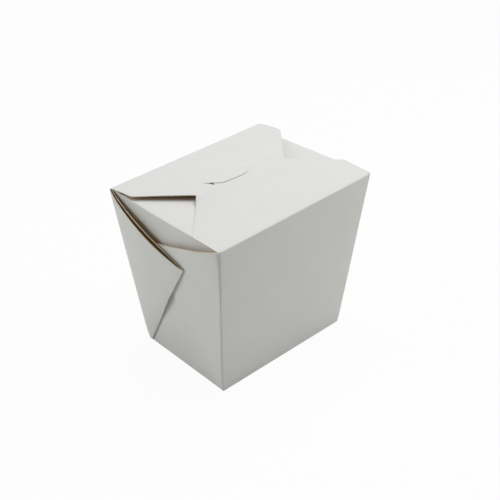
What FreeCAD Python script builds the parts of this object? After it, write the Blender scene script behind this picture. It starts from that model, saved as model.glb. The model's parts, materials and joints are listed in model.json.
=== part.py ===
import FreeCAD, Part
import os
from math import atan, cos, pi, radians, sin, tan

# A folded paper take-out box: one die-cut sheet of paperboard, folded into a
# flared pail with a corner web folded over each end wall, and closed by two
# inner end flaps, a slit back flap and a front flap whose tongue locks the lid.
# Millimetres. +X runs along the long walls, +Y to the back, +Z up.
# The origin is the middle of the base, on its underside.

# Board
board = 0.45

# Body, over the outside, up to the fold lines of the lid
top_length = 101.1
top_width = 91.4
base_length = 88.0
base_width = 69.6
height = 99.06
end_wall_inset = 1.15
end_wall_drop = 0.6

# Corner webs: the board between two walls, folded in half and laid outwards.
# Lifts are how far a layer's outer face stands off the end wall's outer face:
# at the tip, and by how much more where it bows out half way along its edge.
web_reach = 90.6
inner_corner_lift = 0.55
over_facets = 5
over_bow_power = 0.8
over_inner_tip, over_inner_bow = 1.95, 1.6
over_outer_tip, over_outer_bow = 2.28, 4.6
under_inner_tip = 0.75
under_outer_tip = 1.08

# Lid flaps
flap_side_inset = 0.25
flap_side_length = 18.7
flap_slant = 48.0
back_flap_reach = 49.7
back_flap_rise = 1.5
front_flap_reach = 47.5
front_flap_rise = 2.7
end_flap_reach = 32.0
end_flap_fall = 3.0
end_flap_margin = 10.0
end_flap_slant = 52.0

# Hinge fold of the front flap: the wall and the flap are both mitred below
# the fold line, so that the flap can turn outwards about that line
hinge_wall_mitre = 50.0
hinge_flap_mitre = 40.0
hinge_relief_depth = 0.6
hinge_relief_length = 1.6

# Lock: the slit in the back flap and the tongue of the front flap.
# Its turned-down end follows an arc about the hinge, so it draws straight out.
slit_reach = 48.55
slit_half_width = 8.5
slit_arm = 9.7
slit_arm_angle = 49.6
slit_gap = 0.4
tongue_root_half_width = 12.7
tongue_shoulder_step = 4.15
tongue_depth = 9.0
tongue_clearance = 0.35

# How far a cutting shape runs past what it cuts
overrun = 2.0

V = FreeCAD.Vector
half_top_length = top_length / 2
half_top_width = top_width / 2
half_base_length = base_length / 2
half_base_width = base_width / 2
middle = V(0, 0, height / 2)


def slab(corners, inside=middle):
    """Board whose outer face has these corners, thickened towards a point."""
    face = Part.Face(Part.makePolygon(corners + corners[:1]))
    normal = (corners[1] - corners[0]).cross(corners[2] - corners[0])
    normal.normalize()
    if normal.dot(inside - corners[0]) < 0:
        normal = normal * -1
    return face.extrude(normal * board)


def prism(corners, direction):
    """Straight prism on a flat outline."""
    return Part.Face(Part.makePolygon(corners + corners[:1])).extrude(direction)


def mirrored(shape):
    """The same shape at the other end, or on the other side, of X = 0."""
    return shape.mirror(V(0, 0, 0), V(1, 0, 0))


def joined(shapes):
    """One solid made of shapes that overlap."""
    return shapes[0].multiFuse(shapes[1:]).removeSplitter().Solids[0]


def base():
    """Bottom panel."""
    x, y = half_base_length, half_base_width
    return slab([V(-x, -y, 0), V(x, -y, 0), V(x, y, 0), V(-x, y, 0)])


def long_wall(side):
    """Front (side -1) or back (side 1) wall, up to its fold line."""
    foot = side * half_base_width
    top = side * half_top_width
    return slab([V(-half_base_length, foot, 0), V(half_base_length, foot, 0),
                 V(half_top_length, top, height), V(-half_top_length, top, height)])


def end_wall_point(side, level):
    """Point on the left end wall's side edge, at a level from 0 to 1."""
    top = V(-(half_top_length - end_wall_inset), side * half_top_width, height)
    foot = V(-half_base_length, side * half_base_width, 0)
    return foot + (top - foot) * level


def end_wall():
    """Left end wall, a little lower than the long walls."""
    level = 1 - end_wall_drop / height
    return slab([end_wall_point(-1, 0), end_wall_point(1, 0),
                 end_wall_point(1, level), end_wall_point(-1, level)])


def end_flap():
    """Left inner flap, folded in from the end wall and sagging a little."""
    fold = end_wall_point(1, 1 - end_wall_drop / height)
    fall = radians(end_flap_fall)
    wide = fold.y - end_flap_margin
    narrow = wide - end_flap_reach / tan(radians(end_flap_slant))
    x = fold.x + end_flap_reach * cos(fall)
    z = fold.z - end_flap_reach * sin(fall)
    return slab([V(fold.x, -wide, fold.z), V(fold.x, wide, fold.z),
                 V(x, narrow, z), V(x, -narrow, z)])


def web_layer(side, corner_lift, tip_lift, bow=0, facets=1):
    """One layer of a left corner web, as flat facets fanned out from the foot.

    The cut edge is a straight line in the sheet from the top corner to the tip.
    """
    foot = end_wall_point(side, 0)
    edge = end_wall_point(side, 1) - foot
    length = edge.Length
    along = edge / length
    outward = V(-1, 0, 0)
    across = V(0, -side, 0) - along * V(0, -side, 0).dot(along)
    across.normalize()
    end_flare = atan((half_top_width - half_base_width) / height)
    long_flare = atan((half_top_length - half_base_length) / height)
    half_angle = (pi / 2 - end_flare - long_flare) / 2
    start = (length, 0)
    tip = (web_reach * cos(half_angle), web_reach * sin(half_angle))

    def edge_point(part):
        a = start[0] + (tip[0] - start[0]) * part
        b = tip[1] * part
        lift = corner_lift + (tip_lift - corner_lift) * part
        lift += bow * max(0, sin(pi * part)) ** over_bow_power
        return foot + along * a + across * b + outward * lift

    points = [edge_point(i / facets) for i in range(facets + 1)]
    return [slab([foot, a, b]) for a, b in zip(points, points[1:])]


def webs():
    """Both webs of the left end: the back one lies over the front one."""
    return (web_layer(1, inner_corner_lift, over_inner_tip, over_inner_bow, over_facets)
            + web_layer(1, end_wall_inset, over_outer_tip, over_outer_bow, over_facets)
            + web_layer(-1, inner_corner_lift, under_inner_tip)
            + web_layer(-1, end_wall_inset, under_outer_tip))


def flap_point(side, rise, x, reach):
    """Point of a lid flap's top face, at a reach from its fold line."""
    angle = radians(rise)
    return V(x, side * (half_top_width - reach * cos(angle)),
             height + reach * sin(angle))


def flap(side, rise, reach, end_outline):
    """Lid flap: parallel sides, then slanted sides, then an end outline."""
    wide = half_top_length - flap_side_inset
    narrow = wide - (reach - flap_side_length) / tan(radians(flap_slant))
    right = [(wide, 0), (wide, flap_side_length), (narrow, reach)] + end_outline
    left = [(-x, d) for x, d in reversed(right)]
    return slab([flap_point(side, rise, x, d) for x, d in right + left])


def slit():
    """Cutter for the slit: a slot for the tongue and an arm at each end."""
    low = V(0, 0, height - overrun)
    up = V(0, 0, 3 * overrun)
    front = -half_top_width + slit_reach - board - tongue_clearance
    back = -half_top_width + slit_reach + tongue_clearance
    x = slit_half_width
    slot = prism([V(-x, front, 0) + low, V(x, front, 0) + low,
                  V(x, back, 0) + low, V(-x, back, 0) + low], up)
    angle = radians(slit_arm_angle)
    arm = V(cos(angle), sin(angle), 0) * slit_arm
    width = V(sin(angle), -cos(angle), 0) * slit_gap
    start = V(x - slit_gap, back - slit_gap, 0) + low
    right_arm = prism([start, start + width, start + width + arm, start + arm], up)
    return joined([slot, right_arm, mirrored(right_arm)])


def hinge_relief():
    """Cutter that clears the front wall's top edge for the hinged flap."""
    y = -half_top_width
    x = half_top_length + overrun
    run = hinge_relief_depth / tan(radians(hinge_wall_mitre))
    outline = [(y, height), (y + run, height - hinge_relief_depth),
               (y + hinge_relief_length, height - hinge_relief_depth),
               (y + hinge_relief_length, height + overrun), (y, height + overrun)]
    return prism([V(-x, a, b) for a, b in outline], V(2 * x, 0, 0))


def carton():
    """The whole sheet but for the front flap."""
    left_end = [end_wall(), end_flap()] + webs()
    right_end = [mirrored(shape) for shape in left_end]
    back_flap = flap(1, back_flap_rise, back_flap_reach, []).cut(slit())
    body = joined([base(), long_wall(-1), long_wall(1), back_flap] + left_end + right_end)
    return body.cut(hinge_relief()).Solids[0]


def tongue_end():
    """The tongue's turned-down end: a strip curved about the hinge."""
    half_width = slit_half_width - tongue_clearance
    rise = radians(front_flap_rise)
    turn = tongue_depth / slit_reach

    def at(radius, angle):
        return V(-half_width, radius * cos(angle) - half_top_width,
                 height + radius * sin(angle))

    outer = slit_reach
    inner = slit_reach - board
    angles = (rise, rise - turn / 2, rise - turn)
    outline = Part.Wire([
        Part.Arc(*[at(outer, a) for a in angles]).toShape(),
        Part.makeLine(at(outer, angles[2]), at(inner, angles[2])),
        Part.Arc(*[at(inner, a) for a in reversed(angles)]).toShape(),
        Part.makeLine(at(inner, angles[0]), at(outer, angles[0]))])
    return Part.Face(outline).extrude(V(2 * half_width, 0, 0))


def front_flap():
    """Outer lid flap with its tongue, hinged on the front wall's fold line."""
    half_width = slit_half_width - tongue_clearance
    step = tongue_shoulder_step
    side_run = (front_flap_reach + step - slit_reach) / tan(radians(slit_arm_angle))
    outline = [(tongue_root_half_width, front_flap_reach),
               (half_width + side_run, front_flap_reach + step),
               (half_width, slit_reach)]
    plate = flap(-1, front_flap_rise, front_flap_reach, outline)
    y = -half_top_width
    x = half_top_length + overrun
    drop = overrun * tan(radians(hinge_flap_mitre))
    mitre = [(y, height), (y + overrun, height - drop),
             (y + overrun, height - 2 * overrun),
             (y - overrun, height - 2 * overrun), (y - overrun, height)]
    below = prism([V(-x, a, b) for a, b in mitre], V(2 * x, 0, 0))
    return joined([plate.cut(below), tongue_end()])


os.makedirs("parts", exist_ok=True)
for name, shape in (("carton", carton()), ("front_flap", front_flap())):
    shape.exportStep("parts/" + name + ".step")
    print(name, shape.ShapeType, len(shape.Solids), shape.isValid(),
          round(shape.Volume, 1), shape.BoundBox)
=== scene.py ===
import bpy
import json
import math
import numpy as np
from mathutils import Matrix, Vector


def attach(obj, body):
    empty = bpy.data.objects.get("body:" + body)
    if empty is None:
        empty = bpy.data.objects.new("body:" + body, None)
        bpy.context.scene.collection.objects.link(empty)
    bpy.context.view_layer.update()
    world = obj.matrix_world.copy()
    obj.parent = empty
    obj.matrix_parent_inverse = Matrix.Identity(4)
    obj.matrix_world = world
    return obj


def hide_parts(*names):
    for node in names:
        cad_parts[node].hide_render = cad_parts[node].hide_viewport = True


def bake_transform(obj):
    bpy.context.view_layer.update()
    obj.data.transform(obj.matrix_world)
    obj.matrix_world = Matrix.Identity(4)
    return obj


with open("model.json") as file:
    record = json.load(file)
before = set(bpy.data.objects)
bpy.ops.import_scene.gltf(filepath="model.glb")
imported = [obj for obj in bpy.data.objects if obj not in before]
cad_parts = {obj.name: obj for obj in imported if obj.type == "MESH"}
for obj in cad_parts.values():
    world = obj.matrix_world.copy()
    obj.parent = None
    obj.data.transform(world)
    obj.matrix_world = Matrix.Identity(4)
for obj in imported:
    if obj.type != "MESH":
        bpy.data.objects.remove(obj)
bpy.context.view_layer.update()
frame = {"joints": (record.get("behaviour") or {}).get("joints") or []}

# A folded paper take-out box. Shapes are worked out in millimetres and made into
# meshes in metres: +X along the long walls, +Y to the back, +Z up.
mm = 0.001
hinge = np.array(frame["joints"][0]["pos_m"]) / mm
tiny = 0.001                     # slack when points are picked by where they lie

box = {
    "board": 0.45,               # thickness of the paperboard
    "cornerGap": 1.05,           # the long walls end this far outside the end walls
    "proud": 4.1,                # back right corner, sprung out past the end wall
    "nest": 0.95,                # the end walls' folds lie this far inside the long walls
    "endDrop": 0.1,              # the end walls' lid folds are this much lower
    "bulge": 0.5,                # how far the long walls belly out half way up
    "endBulge": 1.2,             # how far the end walls' lid folds bow out
    "endRise": 6,                # power of the level by which that bow grows
    "cornerRound": 0.6,          # softness of the upright corners
    "baseRound": 0.4,            # softness of the base folds
    "lidRound": 0.7,             # softness of the lid folds
    "flapInset": 0.05,           # the lid flaps are this much short of the corners
    "footHeight": 6.0,           # height over which the stacked layers part
    "footShut": 0.92,            # share of the room between them that is closed at the foot
    "thinFoot": 12.0,            # the stacked layers are pressed thin below this height
    "thinnest": 0.04,            # share of the board that is left where it is pressed thin
    "thinRim": 40,               # power of the way out by which the base thins to its edge
    "seamDrop": 4.2,             # the front flap's piece starts this far below its fold
    "bendDrop": 2.2,             # on the real box the board bends from this far below the front flap's fold to as far past it
    "shadeFade": 4.0,             # painted warm shade fades in over this much where layers overlap
    "bareRim": 0.3,              # share of the coating worn away at the cut edges
    "crease": 0.4,               # a fold's painted shade line or a worn edge fades out over this much
    "baseCrease": 1.3,           # the base folds' painted shade lines are this many times narrower
    "weld": 0.02,                # points closer than this become one
    "sharpest": 35.0,            # degrees past which an edge isn't shaded smooth
}

# Corners of the two end walls, x taken as a distance from the middle. A folded box
# is never quite square. Its front lid fold keeps within a millimetre of the front
# flap's hinge line.
baseCorners = {
    ("left", "front"): (44.2, -32.2, 0.0), ("left", "back"): (44.8, 32.8, 0.0),
    ("right", "front"): (43.4, -32.8, 0.0), ("right", "back"): (44.0, 32.8, 0.0),
}
lidCorners = {
    ("left", "front"): (50.5, hinge[1], hinge[2] - 0.6),
    ("left", "back"): (50.9, 43.2, 98.4),
    ("right", "front"): (52.1, hinge[1] + 0.3, hinge[2] + 0.7),
    ("right", "back"): (50.2, 44.6, 98.6),
}
outward = {"front": -1.0, "back": 1.0}
height = hinge[2]


def soften(distance, radius):
    # half the gap between a hyperbola and its two asymptotes: radius / 2 at the
    # fold itself, fading to nothing away from it
    return (np.sqrt(distance ** 2 + radius ** 2) - np.abs(distance)) / 2


def smooth(t):
    # 3t^2 - 2t^3, held at 0 below t = 0 and at 1 above t = 1
    t = np.clip(t, 0, 1)
    return t * t * (3 - 2 * t)


def mix(a, b, t):
    return a + (b - a) * t


def grid(x, y, z):
    # one surface point for each row and column
    return np.stack(np.broadcast_arrays(x, y, z), axis=-1).astype(float)


def mirrorX(surface):
    # the same surface at the other end, its columns turned round to keep it facing out
    return surface[:, ::-1] * np.array([-1.0, 1.0, 1.0])


# Rows of the walls, 0 at the base to 1 at the lid, close together near the folds
footRows = np.array([0, 0.3, 0.8, 1.6, 2.8, 4.4, 6.5, 9.5])
headRows = height - np.array([9.0, 6.0, box["seamDrop"], 2.8, 1.5, 0.9, 0.45, 0.2, 0])
middleRows = np.linspace(footRows[-1], headRows[0], 20)[1:-1]
levels = np.concatenate([footRows, middleRows, headRows])[:, None] / height
# how far the stacked layers have parted: near 0 at the foot, then 1
parted = 1 - box["footShut"] * np.exp(-levels * height / box["footHeight"])

# Columns of the long walls and their flaps: -1 to 1 stays straight for the lock, and
# beyond that, out to -2 and 2, they share out the room up to the flap's sides
straightHalf = 17.0
outerTurns = np.array([0.09, 0.21, 0.33, 0.45, 0.57, 0.68, 0.78, 0.86, 0.92, 0.96, 0.983, 0.994, 1.0])
innerTurns = np.linspace(-1, 1, 61)
turns = np.concatenate([-1 - outerTurns[::-1], innerTurns, 1 + outerTurns])


def columnX(left, right):
    # x of every column of a flap whose sides are at left and right
    inside = np.clip(turns, -1, 1) * straightHalf
    beyond = np.clip(np.abs(turns) - 1, 0, 1)
    return inside + beyond * (np.where(turns < 0, left, right) - inside)


def uprightEdge(end, side):
    # an end wall's corner, straight from base to lid: one point at each level
    base, lid = np.array(baseCorners[end, side]), np.array(lidCorners[end, side])
    return (base + (lid - base) * levels)[:, None, :]


def springOut(end, side):
    # how far the sprung corner leaves the end wall, growing with the square of the level
    return box["proud"] * levels ** 2 if (end, side) == ("right", "back") else 0 * levels


def wallEnds(side):
    # the long wall's two upright edges, outside the end walls' edges
    left, right = uprightEdge("left", side), uprightEdge("right", side)
    left[..., 0] = -left[..., 0] - box["cornerGap"] * parted
    right[..., 0] += box["cornerGap"] * parted + springOut("right", side)
    return left, right


def wallShares(side):
    # where each column stands along the wall, 0 at its left edge to 1 at its right edge
    left, right = (edge[-1, 0, 0] for edge in wallEnds(side))
    x = columnX(left + box["flapInset"], right - box["flapInset"])
    return np.concatenate([[0.0], (x - left) / (right - left), [1.0]])


def longWall(side):
    # straight rules between the two edges at every level, with a shallow belly: a sine
    # along the wall times a parabola up it; softened at its corners and its lid fold
    left, right = wallEnds(side)
    share = wallShares(side)[None, :]
    surface = mix(left, right, share[..., None])
    out = outward[side]
    rise = surface[..., 2]
    belly = box["bulge"] * np.sin(share * math.pi) * 4 * levels * (1 - levels)
    length = (right - left)[..., 0]
    fromCorner = length * np.minimum(share, 1 - share)
    corner = soften(fromCorner, box["cornerRound"] * parted)
    surface[..., 0] += corner * np.sign(0.5 - share)
    surface[..., 1] += out * (belly - corner)
    lid = soften(rise[-1:] - rise, box["lidRound"])
    surface[..., 1] -= lid * out
    surface[..., 2] -= lid
    return surface


web = {
    # degrees from a corner to its web's crease, and the crease's length to the tip
    "halfAngle": {"front": 39.6, "back": 39.15},
    "reach": {"front": 91.0, "back": 89.3},
    "footWidth": 2.1,            # the crease starts this far from the corner
    "footStand": 0.8,            # the over web's crease stands this much off the end wall low down
    # each layer stands off the end wall by corner to tip along its cut edge, and by a bow
    # that grows up the wall as level ^ rise and along the edge as sin(pi share ^ skew) ^ swell
    "overOuter": {"corner": 1.05, "tip": 3.25, "bow": 4.2, "rise": 1.0, "skew": 1.0, "swell": 0.7},
    "overInner": {"corner": 0.15, "tip": 2.45, "bow": 2.4, "rise": 3.0, "skew": 0.8, "swell": 1.0},
    "underOuter": {"corner": 1.05, "tip": 0.95, "bow": 3.0, "rise": 8.0, "skew": 0.6, "swell": 0.8},
    "underInner": {"corner": 0.15, "tip": 0.2, "bow": 2.8, "rise": 8.0, "skew": 0.6, "swell": 0.8},
    "rightBow": 0.4,             # the right end's under web bows by this share of the left's
    "settle": (0.25, 0.68),      # levels between which the over web climbs onto the under web
    "alongEdge": 36,             # columns along the cut edge
    "crowding": 1.6,             # power by which they crowd towards the corner
    "aroundCrease": 5,           # columns around the crease
}


def webPlane(end, side):
    # foot, top corner and tip of a web laid flat on its end wall, the way past its crease
    # and the way along the base
    foot = np.array(baseCorners[end, side])
    top = np.array(lidCorners[end, side])
    along = (top - foot) / np.linalg.norm(top - foot)
    inwards = np.array(baseCorners[end, "back" if side == "front" else "front"]) - foot
    inwards = inwards / np.linalg.norm(inwards)
    across = inwards - along * inwards.dot(along)
    across = across / np.linalg.norm(across)
    half = math.radians(web["halfAngle"][side])
    tip = foot + web["reach"][side] * (math.cos(half) * along + math.sin(half) * across)
    return foot, top, tip, math.cos(half) * across - math.sin(half) * along, inwards


def webLayer(end, side, kind):
    # a fan of straight rules from the foot to the straight cut edge, lifted off the end wall;
    # away from the corner the spring fades by a cube, and an inner layer's nest by a square;
    # up the wall the foot's width fades by a cube, and its stand by a fourth power
    foot, top, tip, _, inwards = webPlane(end, side)
    share = np.linspace(0, 1, web["alongEdge"])[None, :] ** web["crowding"]
    edge = top + (tip - top) * share[..., None]
    surface = foot + (edge - foot) * levels[..., None]
    surface = surface + inwards * (web["footWidth"] * share * (1 - levels) ** 3)[..., None]
    layer = web[kind]
    settleFrom, settleTo = web["settle"]
    climb, stand = 1.0, 0.0
    if kind.startswith("over"):
        climb = smooth((levels - settleFrom) / (settleTo - settleFrom))
        stand = web["footStand"] * share * (1 - levels) ** 4
    lift = parted * (layer["corner"] + stand + (layer["tip"] - layer["corner"]) * share * climb)
    swell = np.sin(math.pi * share ** layer["skew"]).clip(0) ** layer["swell"]
    eased = web["rightBow"] if (end, side) == ("right", "front") else 1.0
    lift = lift + eased * layer["bow"] * levels ** layer["rise"] * swell
    if kind.endswith("Outer"):
        lift = lift + springOut(end, side) * (1 - share) ** 3
        fromCorner = np.linalg.norm(tip - top) * share * levels
        corner = soften(fromCorner, box["cornerRound"] * parted)
        lid = soften(top[2] * (1 - levels), box["lidRound"]) * np.exp(-fromCorner / box["lidRound"])
        surface[..., 1] -= (corner + lid) * outward[side]
        surface[..., 2] -= lid
        lift = lift - corner
    else:
        surface[..., 1] -= outward[side] * box["nest"] * parted * (1 - share) ** 2
    surface[..., 0] += lift
    return surface


def webCrease(end, side):
    # half a turn between the two layers' last rules: their stand-off follows a cosine and
    # the fold reaches out past the crease by a sine
    beyond = webPlane(end, side)[3]
    first, last = layersOf(side)
    outerEdge = webLayer(end, side, first)[:, -1:]
    innerEdge = webLayer(end, side, last)[:, -1:]
    turn = np.linspace(0, math.pi, web["aroundCrease"] + 2)[1:-1][None, :, None]
    surface = mix(outerEdge, innerEdge, (1 - np.cos(turn)) / 2)
    radius = np.linalg.norm(outerEdge - innerEdge, axis=-1, keepdims=True) / 2
    return surface + beyond * radius * np.sin(turn)


def layersOf(side):
    # the back web lies over the front one
    return ("overOuter", "overInner") if side == "back" else ("underOuter", "underInner")


endFlap = {
    "margin": 10.0,              # from the corner to the flap, along its fold
    "reach": 32.0,
    "slant": 52.0,
    "fall": 0.8,                 # degrees that it sags inside the box
    "columns": 36,
}
# Columns of the end walls, -1 at the front corner to 1 at the back one: those in the
# middle carry on into the end flap
endFlapShare = 1 - endFlap["margin"] / -hinge[1]
endShares = np.concatenate([
    [-1.0, -0.95, -0.88], np.linspace(-endFlapShare, endFlapShare, endFlap["columns"]),
    [0.88, 0.95, 1.0]])
onEndFlap = np.abs(endShares) <= endFlapShare + tiny


def endWall(end):
    # straight rules between its two corners, its lid fold bowed out by a parabola that grows
    # as a power of the level, and softened into its own flap
    share = endShares[None, :]
    top = 1 - box["endDrop"] / height
    front, back = uprightEdge(end, "front"), uprightEdge(end, "back")
    nest = np.array([0, box["nest"], 0]) * parted[..., None]
    surface = mix(front + nest, back - nest, (share[..., None] + 1) / 2)
    surface[..., 2] *= top
    surface[..., 0] += box["endBulge"] * (1 - share ** 2) * levels ** box["endRise"]
    rise = surface[..., 2]
    lid = soften(rise[-1:] - rise, box["lidRound"]) * onEndFlap
    surface[..., 0] -= lid
    surface[..., 2] -= lid
    return surface


def endFlapSurface(end):
    # straight rows running in from the end wall's fold, sagging, between slanted sides
    fold = endWall(end)[-1:, onEndFlap]
    reach = np.concatenate([[0, 0.3, 0.7, 1.3, 2.2], np.linspace(4, endFlap["reach"], 18)])[:, None]
    middle = (fold[:, :1, 1] + fold[:, -1:, 1]) / 2
    halfWidth = (fold[:, -1:, 1] - fold[:, :1, 1]) / 2
    narrow = 1 - reach / math.tan(math.radians(endFlap["slant"])) / halfWidth
    fall = math.radians(endFlap["fall"])
    soft = soften(reach, box["lidRound"]) - box["lidRound"] / 2
    return grid(fold[..., 0] - reach * math.cos(fall) - soft,
                middle + (fold[..., 1] - middle) * narrow,
                fold[..., 2] - reach * math.sin(fall) - soft)


def softenFoot(surface):
    # every wall and web drawn in and up a little where it meets the base
    base = soften(surface[..., 2], box["baseRound"])
    middle = np.mean([np.abs(corner) for corner in baseCorners.values()], axis=0)
    x, y, z = np.moveaxis(surface, -1, 0)
    return grid(x * (1 - base / middle[0]), y * (1 - base / middle[1]), z + base)


def endPath(end):
    # the sheet's path across an end, from the front wall's corner to the back wall's
    return np.concatenate([
        webLayer(end, "front", "underOuter"), webCrease(end, "front"),
        webLayer(end, "front", "underInner")[:, ::-1], endWall(end),
        webLayer(end, "back", "overInner"), webCrease(end, "back")[:, ::-1],
        webLayer(end, "back", "overOuter")[:, ::-1]], axis=1)


# Lid flaps: where the left and right sides bend, the degrees that they slant from there,
# and the free edge's y
backLid = {
    "bends": ((-51.2, 23.9), (55.5, 25.8)),
    "slants": (45.3, 49.8),
    "freeEdge": -4.0,
    "climb": 3.3,                # it rises by this much
    "over": 18.0,                # most of it within this distance of its fold
    "droop": 0.8,                # its end sinks by this much under the front flap
    "droopFrom": 40.0,
    "droopOver": 10.0,
    "rowSpan": 42.0,             # from its fold to the slit, for spacing its rows
    "crowding": 1.3,             # power by which the rows past the slit crowd towards it
}
frontLid = {
    "bends": ((-52.2, -26.4), (53.9, -25.7)),
    "slants": (47.3, 45.2),
    "freeEdge": 0.6,
    "power": 1.6,                # it climbs slowly at first, then rests on the back flap
    "air": 0.06,                 # between it and the back flap that it rests on
    "sinkFrom": -1.2,            # its left edge sinks onto the end flap, up to here
    "sinkOver": 4.0,             # rising again over this much
    "sinkGap": 0.4,              # how far above its fold it then lies
    "rowSpan": 46.0,             # from its fold to its free edge, for spacing its rows
}
bendRound = 0.8                  # softness of the corners of their outlines

lock = {
    "place": (-2.4, -0.45),      # middle of the slit
    "tilt": -0.051,              # rise of its straight middle, for each millimetre to the right
    "tiltHalf": 9.0,             # half the stretch that is tilted
    "half": 8.9,                 # half its straight middle
    "armEnd": 14.7,              # its arms end this far out
    "armAngle": 50.5,            # degrees that they lean back
    "bendRound": 1.4,            # softness of its two bends
    "bendSink": 0.08,            # share of that which puts its middle back on its line
    "tabLift": 0.6,              # the tab behind the slit rides over the tongue
    "drop": 0.35,                # the flap before the slit is pressed down by the tongue
    "pressed": 6.0,              # both fade out over this distance from the slit
    "pressedPast": 1.0,          # along the slit they fade in from this far past its arms
    "pressedOver": 5.0,          # over this distance inwards
    "dipFrom": 5.5,              # the front flap dips down to the slit from this far before it
    "dipStand": 0.15,            # it crosses the slit this far above the back flap
    "dipFall": 0.07,             # falling by this for each millimetre past it
    "openAt": -13.8,             # the left arm gapes open beside the tongue
    "openHalf": 1.9,
    "openWidth": 0.9,
    "hairline": 0.03,            # width of the slit elsewhere
    "tongueHalf": 14.8,
    "tongueReach": 11.0,
    "tongueTaper": 0.024,        # share of its width lost each millimetre
    "tongueRound": 0.3,          # share of its reach lost at its sides
    "tongueRows": 22,
}


def slitLine(x):
    # a slightly tilted middle and two arms leaning back, blended by a hyperbola, and level
    # past their ends
    middleX, middleY = lock["place"]
    run = np.minimum(np.abs(x - middleX), lock["armEnd"]) - lock["half"]
    blended = (run + np.sqrt(run ** 2 + lock["bendRound"] ** 2)) / 2 - lock["bendRound"] * lock["bendSink"]
    lean = math.tan(math.radians(lock["armAngle"]))
    tilted = np.clip(x - middleX, -lock["tiltHalf"], lock["tiltHalf"])
    return middleY + lock["tilt"] * tilted + blended * lean


def lidFold(side):
    # the lid fold's points, one for each flap column
    left, right = wallEnds(side)
    share = wallShares(side)[1:-1, None]
    return mix(left[-1], right[-1], share)


def flapSides(side, lid, y):
    # x of both sides of a flap where it has reached y: from the fold to a rounded bend, then
    # slanted inwards
    fold = lidFold(side)
    sides = []
    for foldPoint, (bendX, bendY), slant, inwards in zip(
            (fold[0], fold[-1]), lid["bends"], lid["slants"], (1.0, -1.0)):
        past = outward[side] * (bendY - y)
        run = (past + np.sqrt(past ** 2 + bendRound ** 2)) / 2
        gone = np.clip((y - foldPoint[1]) / (bendY - foldPoint[1]), 0, 1)
        sides.append(mix(foldPoint[0], bendX, gone) + inwards * run / math.tan(math.radians(slant)))
    return sides


def flapGrid(side, lid, y, z):
    # columns spread to the flap's outline, softened into its wall near the fold
    soft = soften(np.abs(y - lidFold(side)[None, :, 1]), box["lidRound"])
    x = columnX(*flapSides(side, lid, y))
    return grid(x, y - outward[side] * soft, z - soft)


def backHeight(y):
    # the back flap before the lock bends it: a climb that levels out as an exponential, and
    # an end that sinks by an S-curve
    fold = lidFold("back")
    reach = np.maximum(fold[None, :, 1] - y, 0)
    sink = backLid["droop"] * smooth((reach - backLid["droopFrom"]) / backLid["droopOver"])
    return fold[None, :, 2] + backLid["climb"] * (1 - np.exp(-reach / backLid["over"])) - sink


def frontHeight(y):
    # a power curve from the fold up to the back flap's top, plus a board, at the free edge;
    # its left edge sinks by a cube of the way out; eased down onto the slit's line in the middle
    fold = lidFold("front")
    part = np.maximum(y - fold[None, :, 1], 0) / (frontLid["freeEdge"] - fold[None, :, 1])
    resting = backHeight(frontLid["freeEdge"]) + box["board"] + frontLid["air"]
    plane = mix(fold[None, :, 2], resting, part ** frontLid["power"])
    sunk = np.clip(-turns - 1, 0, 1) ** 3 * smooth((frontLid["sinkFrom"] - y) / frontLid["sinkOver"])
    plane = mix(plane, np.minimum(plane, fold[None, :, 2] + frontLid["sinkGap"]), sunk)
    past = y - slitLine(fold[None, :, 0])
    dipped = backHeight(y) + lock["dipStand"] - lock["dipFall"] * np.maximum(past, 0)
    return mix(plane, dipped, smooth((past + lock["dipFrom"]) / lock["dipFrom"]))


def backFlap():
    # rows run from the fold to the slit's line, then from the slit to the free edge; the tab
    # is lifted and the far side pressed down by a bell curve away from the slit
    fold = lidFold("back")
    x, foldY = fold[None, :, 0], fold[None, :, 1]
    slit = slitLine(x)
    steps = np.concatenate([np.array([0, 0.3, 0.7, 1.3, 2.2, 3.6, 6, 10, 14, 17]) / backLid["rowSpan"],
                            np.linspace(0.44, 1, 22)])[:, None]
    fromMiddle = np.abs(x - lock["place"][0])
    band = smooth((lock["armEnd"] + lock["pressedPast"] - fromMiddle) / lock["pressedOver"])
    gape = lock["openWidth"] * smooth(1 - np.abs(x - lock["openAt"]) / lock["openHalf"])
    inSlit = fromMiddle < lock["armEnd"]
    tabY = mix(foldY, slit, steps)
    tab = lock["tabLift"] * band * np.exp(-((tabY - slit) / lock["pressed"]) ** 2)
    tabSide = flapGrid("back", backLid, tabY, backHeight(tabY) + tab)
    start = slit - (lock["hairline"] + gape) * inSlit
    endShare = np.linspace(0, 1, 15)[:, None] ** backLid["crowding"]
    endY = mix(start, backLid["freeEdge"], endShare)
    drop = lock["drop"] * band * np.exp(-((endY - slit) / lock["pressed"]) ** 2)
    endSide = flapGrid("back", backLid, endY, backHeight(endY) - drop)
    return tabSide, endSide


def frontFlapSurface():
    # the wall's last rows and the fold, then rows to the shoulders
    foldY = lidFold("front")[None, :, 1]
    steps = np.concatenate([np.array([0, 0.2, 0.45, 0.9, 1.5, 2.4, 4, 7, 11, 15]) / frontLid["rowSpan"],
                            np.linspace(0.38, 1, 30)])[:, None]
    y = mix(foldY, frontLid["freeEdge"], steps)
    top = flapGrid("front", frontLid, y, frontHeight(y))
    onFlap = levels[:, 0] * height >= height - box["seamDrop"] - tiny
    wall = softenFoot(longWall("front"))[onFlap][:, 1:-1]
    return np.concatenate([wall[:-1], top])


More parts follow.
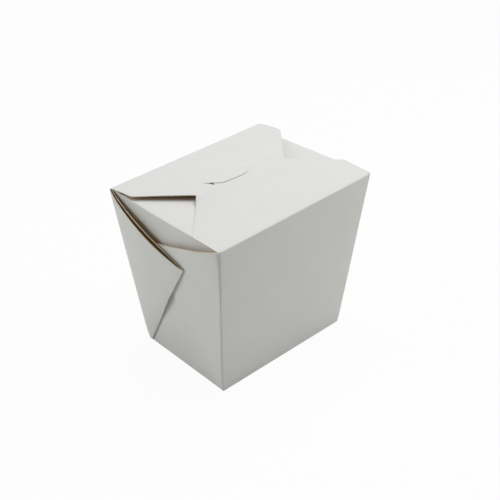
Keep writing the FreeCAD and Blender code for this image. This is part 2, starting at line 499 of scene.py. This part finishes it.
def tongue():
    # columns carried on past the shoulders and under the tab, drawn in as they go by a steady
    # share; the end is rounded off by a fourth power
    isTongue = np.abs(turns) * straightHalf <= lock["tongueHalf"]
    x = turns[isTongue][None, :] * straightHalf
    roundOff = 1 - lock["tongueRound"] * (x / lock["tongueHalf"]) ** 4
    run = np.linspace(0, 1, lock["tongueRows"])[:, None] * lock["tongueReach"] * roundOff
    y = np.broadcast_to(frontLid["freeEdge"] + run[:, :1], (len(run), len(turns))).copy()
    y[:, isTongue] = frontLid["freeEdge"] + run
    z = frontHeight(y)[:, isTongue]
    return grid(x * (1 - lock["tongueTaper"] * run), y[:, isTongue], z)


def quads(surface, keep=None):
    # corner indices of each cell, turning so that the face looks out of the box
    rows, columns = surface.shape[:2]
    index = np.arange(rows * columns).reshape(rows, columns)
    cells = np.stack([index[:-1, :-1], index[:-1, 1:], index[1:, 1:], index[1:, :-1]], axis=-1)
    return cells.reshape(-1, 4) if keep is None else cells[keep]


def joinSurfaces(name, parts):
    # every grid's points and cells in one mesh, with how thin the board is at each point (0
    # full, 1 nothing), how near it is to a fold (1 on it) for painted shade, and how much painted warm
    # shade and worn coating it has (1 all)
    points, faces, thins, folds, shadeAndWearValues, offset = [], [], [], [], [], 0
    for surface, cells, thin, fold, shadeAndWear in parts:
        points.append(surface.reshape(-1, 3) * mm)
        faces.append(cells + offset)
        thins.append(np.broadcast_to(thin, surface.shape[:2]).reshape(-1))
        folds.append(np.broadcast_to(fold, surface.shape[:2]).reshape(-1))
        shadeAndWearValues.append(np.broadcast_to(shadeAndWear, surface.shape[:2]).reshape(-1))
        offset += surface.shape[0] * surface.shape[1]
    mesh = bpy.data.meshes.new(name)
    mesh.from_pydata(np.concatenate(points).tolist(), [], np.concatenate(faces).tolist())
    for attribute, values in (("fold", folds), ("shadeAndWear", shadeAndWearValues)):
        data = mesh.attributes.new(attribute, "FLOAT", "POINT").data
        data.foreach_set("value", np.concatenate(values))
    piece = bpy.data.objects.new(name, mesh)
    bpy.context.scene.collection.objects.link(piece)
    group = piece.vertex_groups.new(name="thin")
    thins = np.concatenate(thins)
    for weight in np.unique(thins[thins > tiny]):
        group.add(np.flatnonzero(thins == weight).tolist(), float(weight), "REPLACE")
    return piece


def thicken(piece):
    # points that meet are merged; the board's thickness then goes in from the coated face,
    # with a face of its own at cut edges
    merge = piece.modifiers.new("merge", "WELD")
    merge.merge_threshold = box["weld"] * mm
    wall = piece.modifiers.new("board", "SOLIDIFY")
    wall.thickness = box["board"] * mm
    wall.offset = -1
    wall.material_offset = 1
    wall.material_offset_rim = 2
    wall.use_even_offset = False
    wall.vertex_group = "thin"
    wall.invert_vertex_group = True
    wall.thickness_vertex_group = box["thinnest"]
    bpy.context.view_layer.update()
    evaluated = piece.evaluated_get(bpy.context.evaluated_depsgraph_get())
    mesh = bpy.data.meshes.new_from_object(evaluated)
    piece.modifiers.clear()
    piece.vertex_groups.clear()
    piece.data = mesh
    mesh.polygons.foreach_set("use_smooth", np.ones(len(mesh.polygons), bool))
    mesh.set_sharp_from_angle(angle=math.radians(box["sharpest"]))
    return piece


def nearFold(distance):
    # 1 on the fold, falling off as a bell curve
    return np.exp(-(distance / box["crease"]) ** 2)


def nearColumns(surface, columns):
    # how near each point is to the folds or edges that run along these columns
    near = np.zeros(surface.shape[:2])
    for column in columns:
        apart = np.linalg.norm(surface - surface[:, [column]], axis=-1)
        near = np.maximum(near, nearFold(apart))
    return near


def pastLine(surface, start, finish, inner):
    # how far each point lies past a line on the end wall, towards a third point
    way = (finish - start)[1:] / np.linalg.norm((finish - start)[1:])
    normal = (inner - start)[1:]
    normal = normal - way * normal.dot(way)
    return (surface[..., 1:] - start[1:]) @ (normal / np.linalg.norm(normal))


def shadeUnderWebs(end, surface, sides):
    # painted warm shade on what these sides' webs cover: it fades in from their cut edges and creases
    depths = []
    for side in sides:
        foot, top, tip = webPlane(end, side)[:3]
        depths.append(np.minimum(pastLine(surface, top, tip, foot), pastLine(surface, foot, tip, top)))
    return smooth(np.max(depths, axis=0) / box["shadeFade"])


def endShadeAndWear(end):
    # painted warm shade and worn coating on the path across an end: painted shade on the webs' inner
    # layers wholly and on what a web lies over, and worn coating a little at the outer layers' cut edges
    shadeAndWear = np.ones((len(levels), web["alongEdge"]))
    worn = box["bareRim"] * shadeAndWear * nearFold((1 - levels) * height)
    crease = np.zeros((len(levels), webCrease(end, "front").shape[1]))
    under = shadeUnderWebs(end, webLayer(end, "front", "underOuter"), ["back"])
    return np.concatenate([np.maximum(under, worn), crease, shadeAndWear,
                           shadeUnderWebs(end, endWall(end), ["front", "back"]),
                           shadeAndWear, crease, worn], axis=1)


def wornSides(surface):
    # the coating is a little worn at a flap's two cut sides
    return box["bareRim"] * nearColumns(surface, (0, -1))


def flapShade(surface):
    # painted warm shade on an end flap: none outside the back flap's outline, and fading in to
    # full shade inside it
    x, y = surface[..., 0], surface[..., 1]
    left, right = flapSides("back", backLid, y)
    inside = np.minimum(np.minimum(x - left, right - x), y - backLid["freeEdge"])
    return smooth(inside / box["shadeFade"])


def carton():
    # walls and webs as one loop of columns, the base as the walls' foot drawn in to the
    # middle and let down by an exponential, then the back flap and both end flaps
    front, back = longWall("front"), longWall("back")
    right, left = endPath("right"), mirrorX(endPath("left"))
    loop = softenFoot(np.concatenate([front, right, back[:, ::-1], left], axis=1))
    seamRow = int(np.argmin(np.abs(levels[:, 0] * height - (height - box["seamDrop"]))))
    rows, columns = loop.shape[:2]
    wallShadeAndWear = np.zeros(front.shape[:2])
    # painted warm shade and worn coating, none on the long walls
    shadeAndWear = np.concatenate([wallShadeAndWear, endShadeAndWear("right"), wallShadeAndWear,
                           endShadeAndWear("left")[:, ::-1]], axis=1)
    keep = np.ones((rows - 1, columns - 1), bool)
    keep[seamRow:, 1:len(turns)] = False
    rightEnd = front.shape[1] + right.shape[1]
    corners = [0, front.shape[1], rightEnd - 1, rightEnd + back.shape[1]]
    # painted shade along the upright corners and the base folds
    fold = np.maximum(nearColumns(loop, corners), nearFold(loop[..., 2] * box["baseCrease"]))
    thin = np.broadcast_to(1 - smooth(levels * height / box["thinFoot"]), loop.shape[:2])
    share = np.array([0, 0.25, 0.5, 0.75, 0.9, 0.95, 0.97, 0.982, 0.991, 1.0])[:, None, None]
    ring = softenFoot(np.concatenate(
        [front, endWall("right"), back[:, ::-1], mirrorX(endWall("left"))], axis=1))[0]
    floor = ring[None] * np.array([1.0, 1.0, 0.0]) * share
    fromFold = (1 - share[..., 0]) * np.linalg.norm(ring, axis=-1)[None, :]
    floor[..., 2] = ring[None, :, 2] * np.exp(-fromFold / box["baseRound"] * 2)
    # flaps run away from their folds, so their columns are turned round to face up
    tabSide, endSide = (part[:, ::-1] for part in backFlap())
    rightFlap, leftFlap = endFlapSurface("right"), mirrorX(endFlapSurface("left"))
    return joinSurfaces("carton", [
        (loop, quads(loop, keep), thin, fold, shadeAndWear),
        (floor, quads(floor), share[..., 0] ** box["thinRim"], 0, 0),
        (tabSide, quads(tabSide), 0, 0, wornSides(tabSide)),
        (endSide, quads(endSide), 0, 0, wornSides(endSide)),
        (rightFlap, quads(rightFlap), 0, 0, flapShade(rightFlap)),
        (leftFlap, quads(leftFlap), 0, 0, flapShade(leftFlap))])


def frontFlap():
    lid, tip = frontFlapSurface(), tongue()
    return joinSurfaces("front_flap", [
        (lid, quads(lid), 0, 0, wornSides(lid)), (tip, quads(tip), 0, 0, 0)])


class Value:
    # a node's output that Python's own operators can work with
    def __init__(self, graph, socket):
        self.graph = graph
        self.socket = socket

    def maths(self, operation, *others):
        return self.graph.node("ShaderNodeMath", {"operation": operation}, dict(enumerate(others)))

    def __add__(self, other):
        return self.maths("ADD", self, other)

    def __mul__(self, other):
        return self.maths("MULTIPLY", self, other)

    __radd__ = __add__
    __rmul__ = __mul__


class Graph:
    # a node tree; node() takes a type, its settings, and values or links for its sockets
    def __init__(self, tree):
        self.tree = tree
        self.tree.nodes.clear()

    def node(self, kind, settings=None, inputs=None, output=0):
        made = self.tree.nodes.new(kind)
        for key, value in (settings or {}).items():
            setattr(made, key, value)
        for key, value in (inputs or {}).items():
            if isinstance(value, Value):
                self.tree.links.new(value.socket, made.inputs[key])
            else:
                made.inputs[key].default_value = value
        return Value(self, made.outputs[output]) if made.outputs else made

    def mixColours(self, share, first, second):
        return self.node("ShaderNodeMix", {"data_type": "RGBA"}, {0: share, 6: first, 7: second}, 2)

    def mixShaders(self, share, first, second):
        return self.node("ShaderNodeMixShader", None, {0: share, 1: first, 2: second})

    def viewerRay(self):
        # 1 for what the camera sees, also in a gloss or through glass
        seen = self.node("ShaderNodeLightPath", output="Is Camera Ray")
        for kind in ("Is Glossy Ray", "Is Transmission Ray"):
            seen = seen.maths("MAXIMUM", seen, self.node("ShaderNodeLightPath", output=kind))
        return seen


def newMaterial(name):
    material = bpy.data.materials.new(name)
    material.use_nodes = True
    return material, Graph(material.node_tree)


def linear(red, green, blue):
    # a screen colour, 0 to 255, as the light it stands for
    share = np.array([red, green, blue]) / 255
    light = np.where(share <= 0.04045, share / 12.92, ((share + 0.055) / 1.055) ** 2.4)
    return (*light.tolist(), 1.0)


paper = {
    "white": ((230, 230, 228), (228, 228, 226)),       # coated face, and its cloudy patches
    "kraft": ((198, 168, 128), (187, 156, 116)),        # bare inside
    "cutEdge": ((221, 215, 200), (208, 201, 182)),     # cut edges of the board
    "roughness": {"white": 0.62, "kraft": 0.85, "cutEdge": 0.9},
    "fibre": 900.0,              # fibres a metre, for the fine tooth
    "cloud": 60.0,               # patches a metre
    "tooth": {"white": 0.00002, "kraft": 0.00006, "cutEdge": 0.00005},
    "toothStrength": 0.5,
    "cloudShare": 0.7,           # of the clouds and of the fibres in the two tones' mixture
    "fibreShare": 0.3,
    "contrast": (0.38, 0.62),    # the mixture goes from one tone to the other between these
    "gloss": 0.3,
    "shadeAndWear": (218, 197, 167),     # warm tan painted as shade where layers overlap, and bare board where the coating is worn
    "foldShade": (206, 208, 200),  # painted shade along the folds
    "foldShadeDepth": 0.75,
}


def paperMaterial(kind):
    # two tones in soft clouds with fine fibres over them; painted shade darker along the folds, painted
    # warm shade where layers overlap and bare board where the coating is worn; the fibres are also a
    # slight tooth
    material, graph = newMaterial("paper_" + kind)
    place = graph.node("ShaderNodeTexCoord", output="Object")
    cloud = graph.node("ShaderNodeTexNoise", None,
                       {"Vector": place, "Scale": paper["cloud"], "Detail": 3.0})
    fibre = graph.node("ShaderNodeTexNoise", None,
                       {"Vector": place, "Scale": paper["fibre"], "Detail": 2.0, "Roughness": 0.6})
    share = graph.node("ShaderNodeMapRange", None,
                       {"Value": cloud * paper["cloudShare"] + fibre * paper["fibreShare"],
                        "From Min": paper["contrast"][0], "From Max": paper["contrast"][1]})
    colour = graph.mixColours(share, linear(*paper[kind][0]), linear(*paper[kind][1]))
    if kind == "white":
        # painted warm shade where layers overlap, and bare board where the coating is worn
        shadeAndWear = graph.node("ShaderNodeAttribute", {"attribute_name": "shadeAndWear"}, output="Fac")
        colour = graph.mixColours(shadeAndWear, colour, linear(*paper["shadeAndWear"]))
        # painted shade, darker along the folds
        fold = graph.node("ShaderNodeAttribute", {"attribute_name": "fold"}, output="Fac")
        colour = graph.mixColours(fold * paper["foldShadeDepth"], colour, linear(*paper["foldShade"]))
    bump = graph.node("ShaderNodeBump", None, {
        "Strength": paper["toothStrength"], "Distance": paper["tooth"][kind], "Height": fibre})
    skin = graph.node("ShaderNodeBsdfPrincipled", None, {
        "Base Color": colour, "Roughness": paper["roughness"][kind], "Normal": bump,
        "Specular IOR Level": paper["gloss"]})
    graph.node("ShaderNodeOutputMaterial", None, {"Surface": skin})
    return material


studio = {
    "floorHalf": 3.0,
    "floorHeight": -0.0001,      # just clear of the base
    "floorWhite": 0.95,          # share of plain white that a viewer sees in the floor
    "floorTone": (0.80, 0.82, 0.775),
    "world": 0.158,              # strength of the glow from all round
    # soft lights: where each hangs, its size, and its watts
    "overhead": ((0.3, -0.05, 0.95), 0.9, 7.7),
    "backLeft": ((-0.9, 0.55, 0.45), 0.6, 3.45),
    "frontRight": ((0.36, -0.3, 0.05), 0.25, 0.49),
}

cameraPlace = {
    "target": (0.0, 0.0, 0.05),
    "distance": 0.486568,
    "azimuth": -39.998,
    "elevation": 33.562,
    "roll": -2.845,
    "lens": 63.13,               # on a 36 mm frame
    "shift": (0.01679, 0.01627),
    "nearest": 0.01,
}


def studioFloor():
    # pale, and mostly plain white to the viewer, with the object's shadow left in it
    half, z = studio["floorHalf"], studio["floorHeight"]
    mesh = bpy.data.meshes.new("studio_floor")
    mesh.from_pydata([(-half, -half, z), (half, -half, z), (half, half, z), (-half, half, z)],
                     [], [(0, 1, 2, 3)])
    piece = bpy.data.objects.new("studio_floor", mesh)
    bpy.context.scene.collection.objects.link(piece)
    material, graph = newMaterial("studio_floor")
    lit = graph.node("ShaderNodeBsdfDiffuse", None, {"Color": (*studio["floorTone"], 1)})
    glow = graph.node("ShaderNodeEmission", None, {"Color": (1, 1, 1, 1), "Strength": 1.0})
    seen = graph.mixShaders(graph.viewerRay() * studio["floorWhite"], lit, glow)
    graph.node("ShaderNodeOutputMaterial", None, {"Surface": seen})
    mesh.materials.append(material)


def worldLight():
    # an even glow from all round that looks plain white to the viewer
    world = bpy.data.worlds.new("studio")
    bpy.context.scene.world = world
    world.use_nodes = True
    graph = Graph(world.node_tree)
    glow = graph.node("ShaderNodeBackground", None, {"Color": (1, 1, 1, 1), "Strength": studio["world"]})
    white = graph.node("ShaderNodeBackground", None, {"Color": (1, 1, 1, 1), "Strength": 1.0})
    seen = graph.mixShaders(graph.viewerRay(), glow, white)
    graph.node("ShaderNodeOutputWorld", None, {"Surface": seen})


def softbox(name, place, size, watts):
    light = bpy.data.lights.new(name, "AREA")
    light.shape = "SQUARE"
    light.size = size
    light.energy = watts
    lamp = bpy.data.objects.new(name, light)
    bpy.context.scene.collection.objects.link(lamp)
    lamp.location = place
    lamp.rotation_mode = "QUATERNION"
    lamp.rotation_quaternion = (-Vector(place)).to_track_quat("-Z", "Y")


def camera():
    azimuth = math.radians(cameraPlace["azimuth"])
    elevation = math.radians(cameraPlace["elevation"])
    back = Vector((math.sin(azimuth) * math.cos(elevation),
                   -math.cos(azimuth) * math.cos(elevation), math.sin(elevation)))
    data = bpy.data.cameras.new("camera")
    data.lens = cameraPlace["lens"]
    data.shift_x, data.shift_y = cameraPlace["shift"]
    data.clip_start = cameraPlace["nearest"]
    viewer = bpy.data.objects.new("camera", data)
    bpy.context.scene.collection.objects.link(viewer)
    viewer.location = Vector(cameraPlace["target"]) + back * cameraPlace["distance"]
    turn = (-back).to_track_quat("-Z", "Y").to_matrix()
    roll = Matrix.Rotation(math.radians(cameraPlace["roll"]), 3, "Z")
    viewer.rotation_mode = "QUATERNION"
    viewer.rotation_quaternion = (turn @ roll).to_quaternion()
    bpy.context.scene.camera = viewer


materials = [paperMaterial(kind) for kind in ("white", "kraft", "cutEdge")]
pieces = [carton(), frontFlap()]
for piece in pieces:
    for material in materials:
        piece.data.materials.append(material)
    thicken(piece)
    print(piece.name, len(piece.data.polygons), "faces")
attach(pieces[0], "carton")
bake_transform(pieces[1])
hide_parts("carton")
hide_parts("front_flap")
print("paper pieces made")

studioFloor()
worldLight()
for name in ("overhead", "backLeft", "frontRight"):
    softbox(name, *studio[name])
camera()
bpy.context.scene.view_settings.view_transform = "Standard"
print("studio made")
